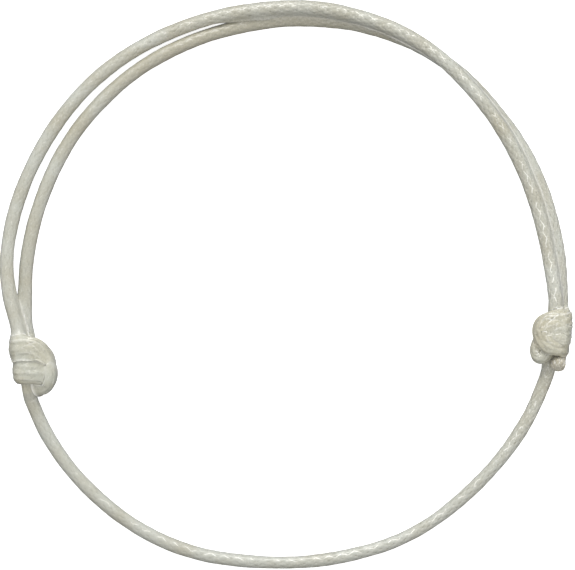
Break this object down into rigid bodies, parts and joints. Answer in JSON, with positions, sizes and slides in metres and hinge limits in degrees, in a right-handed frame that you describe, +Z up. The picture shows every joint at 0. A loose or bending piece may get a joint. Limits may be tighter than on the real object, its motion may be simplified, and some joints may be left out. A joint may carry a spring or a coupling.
{
  "type": "rope bracelet",
  "caption": "Adjustable bracelet of off-white braided waxed cord, laid double over half of the loop and single over the rest, with a sliding knot at each side.",
  "frame": {"origin": "middle of the loop, on the surface that the bracelet lies on", "axes": "+Z up from the surface and along the way the hand goes through the loop, +Y to the double run at the top of the loop, +X to the right knot"},
  "size_m": [0.0624, 0.062, 0.0041],
  "materials": {
    "cord": "braided polyester cord with a satin wax coat",
    "knot": "the same waxed cord pressed smooth in the knots",
    "sealed_end": "the same waxed cord melted to a rounded tip"
  },
  "bodies": {
    "root": {"lower_strand": "cord", "front_strand": "cord", "back_strand": "cord", "left_knot": "knot", "right_knot": "knot", "left_sealed_end": "sealed_end", "right_sealed_end": "sealed_end"}
  },
  "joints": []
}
